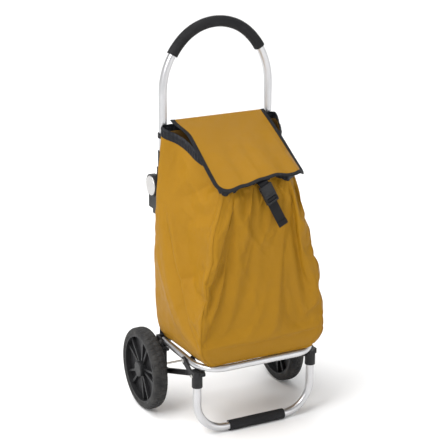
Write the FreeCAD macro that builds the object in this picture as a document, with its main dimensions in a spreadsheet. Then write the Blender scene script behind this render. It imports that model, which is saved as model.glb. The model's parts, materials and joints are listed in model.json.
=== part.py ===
import FreeCAD, Part
import math
import os
import re

# Folding two-wheeled shopping trolley.
#
# The origin is on the floor, midway between the wheels, in the plane of the two upright
# back tubes. +Z is up and the trolley's front faces -Y. All sizes are millimetres.
#
# A side is -1 for the trolley's part at negative X and +1 for its mirror image. Lengths
# called near and far are measured outward from the centre plane X = 0.

SIZES = {
    # wheels and axle
    "wheel_radius": 100,
    "tyre_depth": 16,
    "tyre_width": 36,
    "tyre_shoulder": 5,
    "wheel_middle": 186,
    "rim_depth": 5,
    "web_thick": 5,
    "spoke_wide": 5.5,
    "spoke_deep": 20,
    "hub_radius": 17,
    "hub_near": 166,
    "hub_far": 200,
    "cap_radius": 19,
    "cap_far": 206,
    "bush_radius": 5,
    "axle_radius": 3,
    "axle_back": 10,
    "axle_up": 100,
    "axle_far": 203,
    # tubes
    "tube_radius": 9.5,
    "tube_wall": 1.5,
    "rail_radius": 8,
    "rail_wall": 1.3,
    "sleeve_radius": 12.5,
    "pin_radius": 3,
    "slack": 0.02,
    "running": 0.05,
    # lanes beside each side rail, from the centre plane outward
    "shank_near": 136.8,
    "cheek_near": 137.6,
    "cheek_far": 162.5,
    "head_near": 162.6,
    "plate_near": 138.5,
    "plate_far": 148.5,
    # back frame
    "frame_half": 137,
    "tube_foot": 168,
    "tube_head": 524,
    "crossbar_radius": 6,
    "crossbar_low": 245,
    "crossbar_high": 452,
    # handle and its hinge
    "hinge_back": 13,
    "hinge_up": 556,
    "hinge_radius": 25,
    "disc_near": 151.1,
    "disc_far": 163.5,
    "button_seat": 158.5,
    "button_far": 165.8,
    "button_radius": 23.4,
    "button_travel": 2,
    "handle_foot": 586,
    "side_bend": 170,
    "shoulder_up": 774.7,
    "top_bend": 123.3,
    "grip_radius": 13,
    "grip_start": 31,
    "hanger_up": 677,
    # folding platform
    "rail_half": 150,
    "rail_up": 178,
    "rail_front": 236.7,
    "rail_bend": 60,
    "fold_front": 28,
    "board_half": 142,
    "board_corner": 46,
    "board_thick": 3,
    "board_front": 226,
    "board_rear": 40,
    # front stand and its linkage
    "leg_front": 202,
    "leg_bend": 72,
    "foam_radius": 12.5,
    "foam_left": 68,
    "foam_right": 78,
    "leg_head": 164.5,
    "socket_foot": 128,
    "socket_head": 168,
    "clip_front": 156,
    "inner_ear": 8,
    "outer_ear": 10,
    "rivet_front": 200,
    "rivet_up": 156,
    "rivet_radius": 2.5,
    "link_front": 2,
    "link_up": 87.5,
    "link_length": 209.5,
    "link_high": 13,
    "link_near": 130.5,
    "link_far": 136.5,
    # bag and flap
    "bag_foot": 186.3,
    "bag_rear": 16,
    "bag_wall": 2,
    "binding_high": 11,
    "flap_middle": 10,
    "flap_half": 113,
    "flap_long": 240,
    "flap_thick": 3,
    "flap_corner": 40,
    "flap_slope": 25,
    "flap_back": 8,
    "flap_up": 711,
    # side-release buckle and its webbing
    "buckle_middle": 16,
    "buckle_front": 225.5,
    "buckle_up": 576,
    "buckle_lean": 11,
    "buckle_roll": 24,
    "buckle_wide": 31,
    "buckle_deep": 9,
    "strap_wide": 25,
    "strap_thick": 1.6,
    "strap_tail": 82,
}

SIDES = {"left": -1, "right": 1}
NO_TURN = FreeCAD.Rotation()
ALONG_X = FreeCAD.Rotation(FreeCAD.Vector(0, 1, 0), 90)
ALONG_FRONT = FreeCAD.Rotation(FreeCAD.Vector(1, 0, 0), 90)

doc = FreeCAD.newDocument("folding_shopping_trolley")
sheet = doc.addObject("Spreadsheet::Sheet", "Sizes")
for row, (alias, value) in enumerate(SIZES.items(), 1):
    sheet.set(f"A{row}", alias)
    sheet.set(f"B{row}", str(value))
    sheet.setAlias(f"B{row}", alias)
doc.recompute()

parts = {}


def size(alias):
    """Read one driving dimension from the sheet."""
    return float(sheet.get(alias))


def bound(text):
    """Turn words that are sheet aliases into references to the sheet."""
    return re.sub(r"[a-z]+(?:_[a-z]+)*", lambda word: "Sizes." + word.group()
                  if word.group() in SIZES else word.group(), str(text))


def about(x, y, z, degrees):
    """A rotation about a direction."""
    return FreeCAD.Rotation(FreeCAD.Vector(x, y, z), degrees)


def place(piece, at, turn=NO_TURN):
    """Put a document object at a point given by expressions."""
    piece.Placement = FreeCAD.Placement(FreeCAD.Vector(0, 0, 0), turn)
    for axis, text in zip("xyz", at):
        piece.setExpression("Placement.Base." + axis, bound(text))
    return piece


def primitive(kind, name, sizes, at, turn=NO_TURN):
    """A Part primitive with its sizes and its place bound to the sheet."""
    piece = doc.addObject("Part::" + kind, name)
    for prop, text in sizes.items():
        piece.setExpression(prop, bound(text))
    return place(piece, at, turn)


def box(name, x, y, z):
    """A box from pairs of lowest and highest coordinates."""
    sizes = {
        "Length": f"({x[1]}) - ({x[0]})",
        "Width": f"({y[1]}) - ({y[0]})",
        "Height": f"({z[1]}) - ({z[0]})",
    }
    return primitive("Box", name, sizes, (x[0], y[0], z[0]))


def outward(side, near, far):
    """Lowest and highest X of a stretch that lies near to far from the centre plane."""
    return (near, far) if side > 0 else (f"-({far})", f"-({near})")


def side_box(name, side, near, far, y, z):
    return box(name, outward(side, near, far), y, z)


def upright(name, radius, x, y, z):
    """A vertical cylinder."""
    sizes = {"Radius": radius, "Height": f"({z[1]}) - ({z[0]})"}
    return primitive("Cylinder", name, sizes, (x, y, z[0]))


def crosswise(name, radius, x, y, z):
    """A cylinder along X."""
    sizes = {"Radius": radius, "Height": f"({x[1]}) - ({x[0]})"}
    return primitive("Cylinder", name, sizes, (x[0], y, z), ALONG_X)


def side_rod(name, side, radius, near, far, y, z):
    return crosswise(name, radius, outward(side, near, far), y, z)


def bend(name, radius, bend_radius, degrees, at, turn):
    """A stretch of bent round bar."""
    sizes = {"Radius1": bend_radius, "Radius2": radius, "Angle3": degrees}
    return primitive("Torus", name, sizes, at, turn)


def fuse(name, pieces):
    joined = doc.addObject("Part::MultiFuse", name)
    joined.Shapes = pieces
    joined.Refine = True
    return joined


def cut(name, base, tools):
    """Take one or more tools away from a base."""
    removed = tools[0] if len(tools) == 1 else fuse(name + "_removed", tools)
    result = doc.addObject("Part::Cut", name)
    result.Base = base
    result.Tool = removed
    result.Refine = True
    return result


def group(name, pieces):
    """Pieces that share a node, each kept as a separate solid."""
    joined = doc.addObject("Part::Compound", name)
    joined.Links = pieces
    return joined


def keep(name, piece):
    """Make a document object one of the trolley's sub-parts."""
    piece.Label = name
    parts[name] = piece
    return piece


def rounded(name, base, radius, wanted):
    """Round the edges of a base that a test picks."""
    doc.recompute()
    picked = [i for i, edge in enumerate(base.Shape.Edges, 1) if wanted(edge)]
    result = doc.addObject("Part::Fillet", name)
    result.Base = base
    result.Edges = [(i, radius, radius) for i in picked]
    return result


def is_circle(edge, radius):
    return hasattr(edge.Curve, "Radius") and abs(edge.Curve.Radius - radius) < 0.01


# ---------------------------------------------------------------- wheels and axle

def wheel_disc(label, side):
    """Hub, web and rim, with five pairs of spokes that spread towards the rim."""
    def rod(name, radius, near, far):
        return side_rod(f"{label}_{name}", side, radius, near, far, "axle_back", "axle_up")

    rim_radius = "wheel_radius - tyre_depth"
    half_rim = "tyre_width / 2 - 2"
    rim = cut(f"{label}_rim",
              rod("rim_outside", f"{rim_radius} - slack", f"wheel_middle - ({half_rim})",
                  f"wheel_middle + {half_rim}"),
              [rod("rim_inside", f"{rim_radius} - rim_depth", "wheel_middle - tyre_width",
                   "wheel_middle + tyre_width")])
    web = rod("web", f"{rim_radius} - 1", "wheel_middle - web_thick / 2",
              "wheel_middle + web_thick / 2")
    hub = rod("hub", "hub_radius", "hub_near", "hub_far")
    spokes = []
    for index in range(10):
        lean = 11 if index % 2 else -11
        turn = about(1, 0, 0, 72 * (index // 2) + lean) * about(1, 0, 0, 90)
        spoke = primitive("Box", f"{label}_spoke_{index}", {
            "Length": "spoke_deep", "Width": "spoke_wide",
            "Height": f"{rim_radius} - rim_depth / 2",
        }, ("0", "0", "0"), turn)
        middle = turn.multVec(FreeCAD.Vector(0, -size("spoke_wide") / 2, 0))
        place(spoke, (f"{side} * wheel_middle - spoke_deep / 2", f"axle_back + {middle.y}",
                      f"axle_up + {middle.z}"), turn)
        spokes.append(spoke)
    body = fuse(f"{label}_body", [rim, web, hub] + spokes)
    bore = rod("bore", "bush_radius + slack", "hub_near - 1", "hub_far + 1")
    return cut(f"{label}_disc", body, [bore])


def tyre(label, side):
    def rod(name, radius, extra):
        return side_rod(f"{label}_{name}", side, radius,
                        f"wheel_middle - tyre_width / 2 - {extra}",
                        f"wheel_middle + tyre_width / 2 + {extra}", "axle_back", "axle_up")

    ring = cut(f"{label}_ring", rod("tread", "wheel_radius", 0),
               [rod("seat", "wheel_radius - tyre_depth", 1)])
    return rounded(f"{label}_tyre", ring, size("tyre_shoulder"),
                   lambda edge: is_circle(edge, size("wheel_radius")))


def hub_cap(label, side):
    def rod(name, radius, near, far):
        return side_rod(f"{label}_{name}", side, radius, near, far, "axle_back", "axle_up")

    solid = rod("cap_outside", "cap_radius", "hub_far - 3", "cap_far")
    domed = rounded(f"{label}_cap_dome", solid, 3,
                    lambda edge: abs(abs(edge.CenterOfMass.x) - size("cap_far")) < 0.01
                    and is_circle(edge, size("cap_radius")))
    hollow = rod("cap_inside", "hub_radius + slack", "hub_far - 4", "cap_far - 1.5")
    return cut(f"{label}_cap", domed, [hollow])


def ring(name, side, outer, inner, near, far, y="axle_back", z="axle_up"):
    """A plain ring or bush about an axis along X."""
    return cut(name, side_rod(name + "_outside", side, outer, near, far, y, z),
               [side_rod(name + "_inside", side, inner, f"{near} - 1", f"{far} + 1", y, z)])


for word, side in SIDES.items():
    label = "wheel_" + word
    keep("wheel_disc_" + word, wheel_disc(label, side))
    keep("tyre_" + word, tyre(label, side))
    keep("hub_cap_" + word, hub_cap(label, side))
    keep("axle_bush_" + word, ring("axle_bush_" + word, side, "bush_radius",
                                   "axle_radius + running", "hub_near", "hub_far"))

keep("axle_rod", crosswise("axle_rod", "axle_radius", ("-axle_far", "axle_far"),
                           "axle_back", "axle_up"))
keep("axle_retainers", group("axle_retainers", [
    ring("axle_retainer_" + word, side, "7", "axle_radius + slack", "hub_far + 0.4",
         "hub_far + 1.8") for word, side in SIDES.items()]))


# ---------------------------------------------------------------- back frame

def tube_bore(name, side, z):
    """Clearance for an upright back or handle tube inside a moulding."""
    return upright(name, "tube_radius + slack", f"{side} * frame_half", "0", z)


def back_tube(label, side):
    def run(name, radius):
        return upright(f"{label}_{name}", radius, f"{side} * frame_half", "0",
                       ("tube_foot", "tube_head"))

    return cut(label, run("outside", "tube_radius"), [run("inside", "tube_radius - tube_wall")])


def crossbar_collar(name, side, height):
    """A ring on a back tube with a short socket for one end of a crossbar."""
    band = upright(name + "_band", "sleeve_radius", f"{side} * frame_half", "0",
                   (f"{height} - 10", f"{height} + 10"))
    socket = side_rod(name + "_socket", side, "crossbar_radius + 2.5", "110", "frame_half",
                      "0", height)
    opening = side_rod(name + "_opening", side, "crossbar_radius + slack", "109",
                       "frame_half - sleeve_radius + 0.2", "0", height)
    bore = tube_bore(name + "_bore", side, (f"{height} - 11", f"{height} + 11"))
    return cut(name, fuse(name + "_body", [band, socket]), [opening, bore])


def rear_bracket(label, side):
    """Moulding that joins a back tube, the axle, the platform hinge and the link hinge."""
    def rod(name, radius, near, far, y, z):
        return side_rod(f"{label}_{name}", side, radius, near, far, y, z)

    def block(name, near, far, y, z):
        return side_box(f"{label}_{name}", side, near, far, y, z)

    sleeve = upright(f"{label}_sleeve", "sleeve_radius", f"{side} * frame_half", "0",
                     ("tube_foot - 6", "tube_foot + 44"))
    plate = block("plate", "plate_near", "plate_far", ("-14", "15"), ("84", "tube_foot + 4"))
    brace = block("brace", "plate_near", "plate_far", ("-fold_front", "0"), ("150", "rail_up - 14"))
    axle_boss = rod("axle_boss", "12", "plate_near", "hub_near - 0.7", "axle_back", "axle_up")
    link_boss = rod("link_boss", "10", "plate_near", "plate_far", "-link_front", "link_up")
    cheeks = []
    lanes = {"inner": ("cheek_near", "rail_half - rail_radius - 0.3"),
             "outer": ("rail_half + rail_radius + 0.3", "cheek_far")}
    for word, (near, far) in lanes.items():
        cheeks.append(rod(f"{word}_cheek", f"{word}_ear", near, far, "-fold_front", "rail_up"))
        cheeks.append(block(f"{word}_arm", near, far, ("-fold_front", "-6"),
                            ("rail_up - 12", f"rail_up + {word}_ear")))
    saddle = block("saddle", "cheek_near", "cheek_far", ("-14", "-5"),
                   ("rail_up - 16", "rail_up + outer_ear"))
    shelf = block("shelf", "cheek_near", "cheek_far", ("-fold_front - 4", "-5"),
                  ("rail_up - 17", "rail_up - 12"))
    body = fuse(f"{label}_body", [sleeve, plate, brace, axle_boss, link_boss, saddle, shelf]
                + cheeks)
    return cut(label, body, [
        tube_bore(f"{label}_tube_bore", side, ("tube_foot", "tube_foot + 60")),
        rod("axle_bore", "axle_radius + slack", "130", "170", "axle_back", "axle_up"),
        rod("link_bore", "pin_radius + slack", "130", "170", "-link_front", "link_up"),
        rod("fold_bore", "pin_radius + slack", "130", "170", "-fold_front", "rail_up"),
    ])


def headed_pin(name, side, radius, near, far, y, z, head_near, head_far, head_radius):
    shank = side_rod(name + "_shank", side, radius, near, far, y, z)
    head = side_rod(name + "_head", side, head_radius, head_near, head_far, y, z)
    return fuse(name, [shank, head])


for word, side in SIDES.items():
    keep("back_tube_" + word, back_tube("back_tube_" + word, side))
    keep("rear_bracket_" + word, rear_bracket("rear_bracket_" + word, side))

collars = []
for height in ("crossbar_low", "crossbar_high"):
    bar_reach = "(frame_half - sleeve_radius)"
    keep(height, crosswise(height, "crossbar_radius", (f"-{bar_reach}", bar_reach), "0", height))
    for word, side in SIDES.items():
        collars.append(crossbar_collar(f"{height}_collar_{word}", side, height))
keep("crossbar_collars", group("crossbar_collars", collars))

keep("fold_pins", group("fold_pins", [
    headed_pin("fold_pin_" + word, side, "pin_radius", "shank_near", "head_near + 1", "-fold_front",
               "rail_up", "head_near", "head_near + 2", "4.5") for word, side in SIDES.items()]))
keep("link_pins", group("link_pins", [
    headed_pin("link_pin_" + word, side, "pin_radius", "link_near - 1.9", "plate_far + 1.1",
               "-link_front", "link_up", "link_near - 2.1", "link_near - 0.2",
               "5") for word, side in SIDES.items()]))


# ---------------------------------------------------------------- handle hinges and buttons

def hinge_lower(label, side):
    """Lower half of a handle hinge: a sleeve on the back tube and the outer disc."""
    def rod(name, radius, near, far):
        return side_rod(f"{label}_{name}", side, radius, near, far, "hinge_back", "hinge_up")

    sleeve = upright(f"{label}_sleeve", "sleeve_radius", f"{side} * frame_half", "0",
                     ("tube_head - 50", "tube_head + 4"))
    bridge = side_box(f"{label}_bridge", side, "frame_half", "160", ("-11", "11"),
                      ("tube_head - 34", "tube_head + 3"))
    cheek = side_box(f"{label}_cheek", side, "disc_near", "disc_far - 3.5", ("-11", "hinge_back + 20"),
                     ("tube_head - 24", "hinge_up"))
    disc = rod("disc", "hinge_radius + 2", "disc_near", "disc_far")
    recess = rod("recess", "button_radius + 0.1", "button_seat", "170")
    spring_seat = cut(f"{label}_spring_seat", rod("seat_outside", "8", "154", "159"),
                      [rod("seat_inside", "4.5", "153", "160")])
    return cut(label, fuse(f"{label}_body", [sleeve, bridge, cheek, disc]), [
        tube_bore(f"{label}_tube_bore", side, ("tube_head - 60", "tube_head")),
        recess, spring_seat, rod("pin_bore", "4 + slack", "140", "170"),
    ])


def hinge_upper(label, side):
    """Upper half of a handle hinge: the inner disc and a sleeve on the handle tube."""
    def rod(name, radius, near, far):
        return side_rod(f"{label}_{name}", side, radius, near, far, "hinge_back", "hinge_up")

    disc = rod("disc", "hinge_radius", "125", "disc_near - 0.3")
    block = side_box(f"{label}_block", side, "126", "148", ("-sleeve_radius", "hinge_back"),
                     ("hinge_up", "handle_foot + 14"))
    sleeve = upright(f"{label}_sleeve", "sleeve_radius", f"{side} * frame_half", "0",
                     ("handle_foot - 3", "handle_foot + 54"))
    return cut(label, fuse(f"{label}_body", [disc, block, sleeve]), [
        tube_bore(f"{label}_tube_bore", side, ("handle_foot", "handle_foot + 70")),
        rod("pin_bore", "4 + running", "120", "155"),
    ])


def release_button(label, side):
    """Round push button that stands a little proud of the hinge's outer disc."""
    disc = side_rod(f"{label}_disc", side, "button_radius", "button_seat + 0.1 + button_travel",
                    "button_far",
                    "hinge_back", "hinge_up")
    return rounded(f"{label}_button", disc, 2,
                   lambda edge: abs(abs(edge.CenterOfMass.x) - size("button_far")) < 0.01
                   and is_circle(edge, size("button_radius")))


def button_spring(label, side):
    """Compression spring between the hinge's outer disc and its button, wound towards -X."""
    wire_radius = 0.5
    coil_radius = 6.2
    high = 5.2
    start = -154.7 if side < 0 else 154.7 + high
    coil = doc.addObject("Part::Helix", f"{label}_coil")
    coil.Pitch = 1.8
    coil.Height = high
    coil.Radius = coil_radius
    coil.SegmentLength = 0.5
    section = doc.addObject("Part::Circle", f"{label}_section")
    section.Radius = wire_radius
    section.Placement = FreeCAD.Placement(FreeCAD.Vector(coil_radius, 0, 0), ALONG_FRONT)
    wire = doc.addObject("Part::Sweep", label)
    wire.Sections = [section]
    wire.Spine = coil
    wire.Solid = True
    wire.Frenet = True
    return place(wire, (start, "hinge_back", "hinge_up"), about(0, 1, 0, -90))


for word, side in SIDES.items():
    keep("hinge_lower_" + word, hinge_lower("hinge_lower_" + word, side))
    keep("hinge_upper_" + word, hinge_upper("hinge_upper_" + word, side))
    keep("release_button_" + word, release_button("release_" + word, side))
    keep("button_spring_" + word, button_spring("button_spring_" + word, side))

keep("hinge_pins", group("hinge_pins", [
    headed_pin("hinge_pin_" + word, side, "4", "122.4", "158", "hinge_back", "hinge_up",
               "122.2", "124.8", "7") for word, side in SIDES.items()]))


# ---------------------------------------------------------------- handle

def arch(label, radius, start_degrees):
    """The handle's arch from an angle up one side bend to the same angle on the other."""
    side_sweep = f"45 - {start_degrees}"
    pieces = [bend(f"{label}_top", radius, "top_bend", "90",
                   ("0", "0", "shoulder_up + side_bend - frame_half"),
                   ALONG_FRONT * about(0, 0, 1, 45))]
    for word, side in SIDES.items():
        first = start_degrees if side > 0 else 135
        pieces.append(bend(f"{label}_{word}", radius, "side_bend", side_sweep,
                           (f"{side} * (frame_half - side_bend)", "0", "shoulder_up"),
                           ALONG_FRONT * about(0, 0, 1, first)))
    return pieces


def handle_run(label, radius):
    legs = [upright(f"{label}_{word}_leg", radius, f"{side} * frame_half", "0",
                    ("handle_foot", "shoulder_up")) for word, side in SIDES.items()]
    return fuse(label, legs + arch(label, radius, 0))


keep("handle_tube", cut("handle_tube", handle_run("handle_outside", "tube_radius"),
                        [handle_run("handle_inside", "tube_radius - tube_wall")]))
grip_start = size("grip_start")
keep("grip_foam", cut("grip_foam", fuse("grip_outside", arch("grip_skin", "grip_radius",
                                                              grip_start)),
                      [fuse("grip_inside", arch("grip_bore", "tube_radius + slack",
                                                grip_start - 1))]))


def bag_hanger(name, side):
    """Collar on a handle tube that holds an upper corner of the bag."""
    band = upright(name + "_band", "sleeve_radius", f"{side} * frame_half", "0",
                   ("hanger_up - 6", "hanger_up + 6"))
    return cut(name, band, [tube_bore(name + "_bore", side, ("hanger_up - 7", "hanger_up + 7"))])


keep("bag_hangers", group("bag_hangers", [
    bag_hanger("bag_hanger_" + word, side) for word, side in SIDES.items()]))


# ---------------------------------------------------------------- folding platform

def rail_run(label, radius):
    """The platform's U: two side rails and a front rail joined by round bends."""
    rear = "-(fold_front - 6)"
    corner_y = "-(rail_front - rail_bend)"
    pieces = [crosswise(f"{label}_front", radius,
                        ("-(rail_half - rail_bend)", "rail_half - rail_bend"), "-rail_front",
                        "rail_up")]
    for word, side in SIDES.items():
        length = {"Radius": radius, "Height": "rail_front - rail_bend - fold_front + 6"}
        pieces.append(primitive("Cylinder", f"{label}_{word}", length,
                                (f"{side} * rail_half", rear, "rail_up"),
                                ALONG_FRONT * about(0, 0, 1, 90)))
        pieces.append(bend(f"{label}_{word}_bend", radius, "rail_bend", "90",
                           (f"{side} * (rail_half - rail_bend)", corner_y, "rail_up"),
                           about(0, 1, 0, 0 if side > 0 else 180) * about(0, 0, 1, 270)))
    return fuse(label, pieces)


pin_holes = [crosswise(name, "pin_radius + running", ("-170", "170"), y, "rail_up")
             for name, y in (("rail_fold_hole", "-fold_front"), ("rail_clip_hole", "-clip_front"))]
keep("platform_tube", cut("platform_tube", rail_run("rail_outside", "rail_radius"),
                          [rail_run("rail_inside", "rail_radius - rail_wall")] + pin_holes))
keep("clip_pins", group("clip_pins", [
    headed_pin("clip_pin_" + word, side, "pin_radius", "shank_near", "head_near + 1", "-clip_front",
               "rail_up", "head_near", "head_near + 2", "4.5") for word, side in SIDES.items()]))

# Stiff board inside the bag's floor, with its front corners rounded like the platform's.
board_level = ("bag_foot + 1.3", "bag_foot + 1.3 + board_thick")
board_pieces = [
    box("board_wide", ("-board_half", "board_half"), ("-board_front + board_corner",
                                                       "-board_rear"), board_level),
    box("board_long", ("-(board_half - board_corner)", "board_half - board_corner"),
        ("-board_front", "-board_rear"), board_level),
]
for word, side in SIDES.items():
    board_pieces.append(upright("board_corner_" + word, "board_corner",
                                f"{side} * (board_half - board_corner)",
                                "-board_front + board_corner", board_level))
keep("bag_board", fuse("bag_board", board_pieces))


# ---------------------------------------------------------------- front stand and links

def stand_run(label, radius):
    """The stand's U: two legs and a foot bar joined by round bends."""
    pieces = [crosswise(f"{label}_bar", radius,
                        ("-(rail_half - leg_bend)", "rail_half - leg_bend"), "-leg_front",
                        "foam_radius")]
    for word, side in SIDES.items():
        pieces.append(upright(f"{label}_{word}", radius, f"{side} * rail_half", "-leg_front",
                              ("foam_radius + leg_bend", "leg_head")))
        pieces.append(bend(f"{label}_{word}_bend", radius, "leg_bend", "90",
                           (f"{side} * (rail_half - leg_bend)", "-leg_front",
                            "foam_radius + leg_bend"),
                           ALONG_FRONT * about(0, 0, 1, 270 if side > 0 else 180)))
    return fuse(label, pieces)


def stand_clip(label, side):
    """Moulding that hangs from a side rail and holds the top of one stand leg."""
    def rod(name, radius, near, far, y, z):
        return side_rod(f"{label}_{name}", side, radius, near, far, y, z)

    socket = upright(f"{label}_socket", "sleeve_radius", f"{side} * rail_half", "-leg_front",
                     ("socket_foot", "socket_head"))
    pieces = [socket]
    lanes = {"inner": ("cheek_near", "rail_half - rail_radius - 0.3"),
             "outer": ("rail_half + rail_radius + 0.3", "cheek_far")}
    drop = math.degrees(math.atan2(size("rail_up") - size("rivet_up"),
                                   size("rivet_front") - size("clip_front")))
    for word, (near, far) in lanes.items():
        pieces.append(rod(f"{word}_ear", f"{word}_ear", near, far, "-clip_front", "rail_up"))
        low = outward(side, near, far)[0]
        arm = primitive("Box", f"{label}_{word}_arm", {
            "Length": f"({far}) - ({near})", "Width": "46", "Height": "2 * inner_ear",
        }, ("0", "0", "0"), about(1, 0, 0, drop))
        corner = about(1, 0, 0, drop).multVec(FreeCAD.Vector(0, -46, -size("inner_ear")))
        place(arm, (low, f"-clip_front + {corner.y}", f"rail_up + {corner.z}"),
              about(1, 0, 0, drop))
        pieces.append(arm)
    pieces.append(side_box(f"{label}_saddle", side, "cheek_near", "cheek_far",
                           ("-leg_front - 9", "-leg_front + 14"), ("156", "socket_head")))
    pieces.append(side_box(f"{label}_lip", side, "139", "150",
                           ("-leg_front - 19", "-leg_front - 8"), ("160", "socket_head")))
    return cut(label, fuse(f"{label}_body", pieces), [
        upright(f"{label}_leg_bore", "tube_radius + slack", f"{side} * rail_half",
                "-leg_front", ("socket_foot - 5", "leg_head + 0.1")),
        rod("clip_bore", "pin_radius + slack", "130", "170", "-clip_front", "rail_up"),
        rod("rivet_bore", "rivet_radius + slack", "130", "170", "-rivet_front", "rivet_up"),
    ])


def link(label, side):
    """Flat bar from the rear bracket to the stand's clip, shown in the standing pose."""
    rise = math.degrees(math.asin((size("rivet_up") - size("link_up")) / size("link_length")))
    lean = about(1, 0, 0, -rise)
    low = outward(side, "link_near", "link_far")[0]
    corner = lean.multVec(FreeCAD.Vector(0, -size("link_length"), -size("link_high") / 2))
    bar = primitive("Box", f"{label}_bar", {
        "Length": "link_far - link_near", "Width": "link_length", "Height": "link_high",
    }, ("0", "0", "0"), lean)
    place(bar, (low, f"-link_front + {corner.y}", f"link_up + {corner.z}"), lean)
    tip = lean.multVec(FreeCAD.Vector(0, -size("link_length"), 0))
    eye = side_rod(f"{label}_eye", side, "8", "link_near", "link_far", "-link_front", "link_up")
    nose = side_rod(f"{label}_nose", side, "link_high / 2", "link_near", "link_far",
                    f"-link_front + {tip.y}", f"link_up + {tip.z}")
    bore = side_rod(f"{label}_bore", side, "pin_radius + running", "120", "150", "-link_front",
                    "link_up")
    return cut(label, fuse(f"{label}_body", [bar, eye, nose]), [bore])


rivet_holes = crosswise("leg_rivet_hole", "rivet_radius + slack", ("-170", "170"),
                        "-rivet_front", "rivet_up")
keep("stand_tube", cut("stand_tube", stand_run("stand_outside", "tube_radius"),
                       [stand_run("stand_inside", "tube_radius - tube_wall"), rivet_holes]))
keep("stand_foam", cut("stand_foam",
                       crosswise("foam_outside", "foam_radius", ("-foam_left", "foam_right"),
                                 "-leg_front", "foam_radius"),
                       [crosswise("foam_inside", "tube_radius + slack",
                                  ("-foam_left - 1", "foam_right + 1"), "-leg_front",
                                  "foam_radius")]))
for word, side in SIDES.items():
    keep("stand_clip_" + word, stand_clip("stand_clip_" + word, side))
    keep("link_" + word, link("link_" + word, side))
keep("stand_rivets", group("stand_rivets", [
    headed_pin("stand_rivet_" + word, side, "rivet_radius", "shank_near + 0.4",
               "head_near + 1", "-rivet_front", "rivet_up", "head_near", "head_near + 1.6",
               "4") for word, side in SIDES.items()]))


# ---------------------------------------------------------------- bag

# Height above the bag's foot, half width, reach of the front panel and corner radius.
BAG_SHAPE = [
    (0, 146, 237, 40),
    (20, 160, 242, 34),
    (60, 166, 244, 28),
    (130, 169, 244, 28),
    (200, 169, 242, 30),
    (270, 167, 238, 34),
    (340, 165, 230, 40),
    (410, 162, 216, 46),
    (480, 158, 198, 50),
    (550, 152, 178, 52),
]


def bag_section(name, half, front, rear, corner, height):
    """A rounded rectangle, level at a height."""
    y0, y1 = -front, -rear
    square = min(corner, 22)
    bends = [(half - corner, y0 + corner, corner, 270), (half - square, y1 - square, square, 0),
             (-half + square, y1 - square, square, 90), (-half + corner, y0 + corner, corner, 180)]
    arcs = []
    for x, y, radius, first in bends:
        points = []
        for degrees in (first, first + 45, first + 90):
            angle = math.radians(degrees)
            points.append(FreeCAD.Vector(x + radius * math.cos(angle),
                                         y + radius * math.sin(angle), height))
        arcs.append(Part.Arc(*points).toShape())
    edges = []
    for index, arc in enumerate(arcs):
        edges.append(arc)
        edges.append(Part.LineSegment(arc.Vertexes[-1].Point,
                                      arcs[(index + 1) % 4].Vertexes[0].Point).toShape())
    section = doc.addObject("Part::Feature", name)
    section.Shape = Part.Wire(edges)
    return section


def bag_form(name, inset, floor):
    """Closed form of the bag, drawn in by an inset on every side."""
    sections = []
    for index, (rise, half, front, corner) in enumerate(BAG_SHAPE):
        height = size("bag_foot") + (floor if index == 0 else rise)
        sections.append(bag_section(f"{name}_section_{index}", half - inset, front - inset,
                                    size("bag_rear") + inset, corner - inset, height))
    form = doc.addObject("Part::Loft", name)
    form.Sections = sections
    form.Solid = True
    form.Ruled = False
    return form


def above_mouth(name, drop, high):
    """A slab that starts a drop below the mouth's sloping plane."""
    slab = primitive("Box", name, {"Length": "500", "Width": "500", "Height": high},
                     ("0", "0", "0"))
    turn = about(1, 0, 0, size("flap_slope"))
    corner = turn.multVec(FreeCAD.Vector(-250, -400, -5 - drop))
    return place(slab, (corner.x, f"-flap_back + {corner.y}", f"flap_up + {corner.z}"), turn)


def bag_shell(name):
    return cut(name, bag_form(name + "_outside", 0, 0),
               [bag_form(name + "_inside", size("bag_wall"), 1.2)])


binding_high = size("binding_high")
keep("bag", cut("bag", bag_shell("bag_shell"), [above_mouth("bag_mouth", binding_high, "300")]))
mouth_band = doc.addObject("Part::Common", "mouth_band")
mouth_band.Base = bag_shell("binding_shell")
mouth_band.Tool = above_mouth("binding_slab", binding_high - 0.1, "binding_high - 0.1")
keep("bag_binding", mouth_band)


# ---------------------------------------------------------------- flap

def flap_plate(name, inset, extra):
    """The flap's outline, square at the hinge and rounded at its free corners."""
    half = f"(flap_half - {inset})"
    corner = f"(flap_corner - {inset})"
    long = f"(flap_long - {inset})"
    thick = (f"-flap_thick / 2 - {extra}", f"flap_thick / 2 + {extra}")
    start = "-1" if inset else "0"
    return fuse(name, [
        box(name + "_wide", (f"-{half}", half), (f"-({long} - {corner})", start), thick),
        box(name + "_long", (f"-({half} - {corner})", f"{half} - {corner}"),
            (f"-{long}", start), thick),
        upright(name + "_left", corner, f"-({half} - {corner})", f"-({long} - {corner})", thick),
        upright(name + "_right", corner, f"{half} - {corner}", f"-({long} - {corner})", thick),
    ])


def lay_flap(piece):
    return place(piece, ("flap_middle", "-flap_back", "flap_up"),
                 about(1, 0, 0, size("flap_slope")))


binding_wide = 8
keep("flap_binding", lay_flap(cut("flap_binding", flap_plate("flap_outline", 0, 0),
                                  [flap_plate("flap_opening", binding_wide, 1)])))
panel = flap_plate("flap_panel", binding_wide + 0.05, 0)
rear_trim = box("flap_rear_trim", ("-300", "300"), ("-4", "10"), ("-10", "10"))
keep("flap", lay_flap(cut("flap", panel, [rear_trim])))


# ---------------------------------------------------------------- buckle and webbing

# The buckle's own frame has its origin at the middle of the socket's lower edge, against
# the bag: local X is across, local -Y faces out and local Z runs up the webbing.

def lay_buckle(piece):
    turn = about(1, 0, 0, -size("buckle_lean")) * about(0, 1, 0, size("buckle_roll") * -1)
    return place(piece, ("buckle_middle", "-buckle_front", "buckle_up"), turn)


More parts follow.
